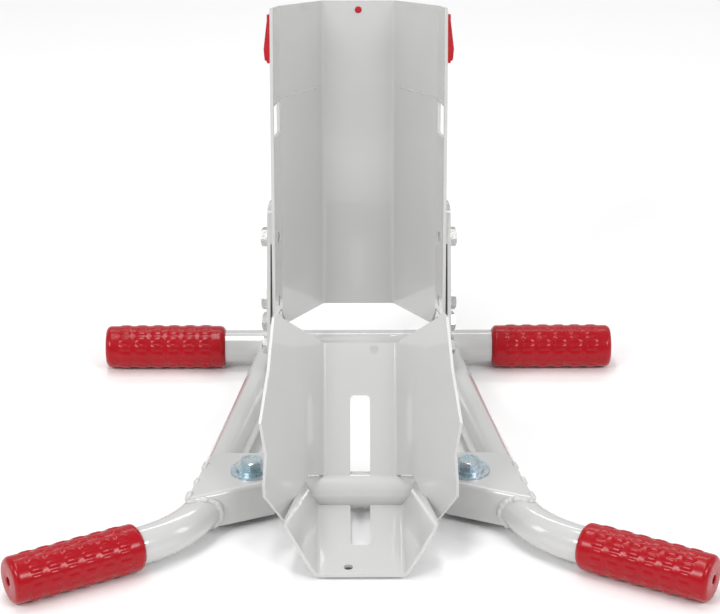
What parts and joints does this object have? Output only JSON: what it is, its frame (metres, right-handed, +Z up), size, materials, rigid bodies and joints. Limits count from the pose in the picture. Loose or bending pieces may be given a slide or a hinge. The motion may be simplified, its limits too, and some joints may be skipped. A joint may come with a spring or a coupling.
{
  "type": "motorcycle paddock stand",
  "caption": "Motorcycle front-wheel paddock stand: tube frame on rubber grips, V-shaped wheel upright and a tipping wheel cradle.",
  "frame": {"origin": "centre of the footprint, on the floor", "axes": "+Z up; +Y the way the wheel rolls in, from the entry lip to the upright; +X to the right, square to the plane of symmetry"},
  "size_m": [0.622, 0.5401, 0.3986],
  "materials": {
    "powder_coat": "gloss",
    "red_rubber": "gloss",
    "red_plastic": "gloss",
    "zinc": "satin",
    "blue_zinc": "satin",
    "nylon": "matte"
  },
  "bodies": {
    "stand": {"rear_cross_tube": "powder_coat", "left_side_tube": "powder_coat", "right_side_tube": "powder_coat", "left_gusset": "powder_coat", "right_gusset": "powder_coat", "left_pivot_bracket": "powder_coat", "right_pivot_bracket": "powder_coat", "left_frame_lug": "powder_coat", "right_frame_lug": "powder_coat", "left_side_bracket": "powder_coat", "right_side_bracket": "powder_coat", "upright_channel": "powder_coat", "upright_top": "powder_coat", "press_nuts": "powder_coat", "rear_left_grip": "red_rubber", "rear_right_grip": "red_rubber", "front_left_grip": "red_rubber", "front_right_grip": "red_rubber", "top_guard": "red_plastic", "bracket_bolts": "zinc", "bracket_washers": "zinc", "pivot_axle": "zinc", "axle_clips": "zinc", "gusset_bolts": "blue_zinc", "gusset_washers": "blue_zinc", "gusset_plate_washers": "blue_zinc", "gusset_nuts": "blue_zinc"},
    "cradle": {"cradle_pivot_tube": "powder_coat", "cradle_upper_plate": "powder_coat", "cradle_lower_plate": "powder_coat", "left_pivot_bush": "nylon", "right_pivot_bush": "nylon"}
  },
  "joints": [
    {"name": "cradle_tip", "type": "hinge", "parent": "stand", "child": "cradle", "pos_m": [0, -0.0938, 0.022], "axis": [-1, 0, 0], "range_deg": [0, 28]}
  ]
}
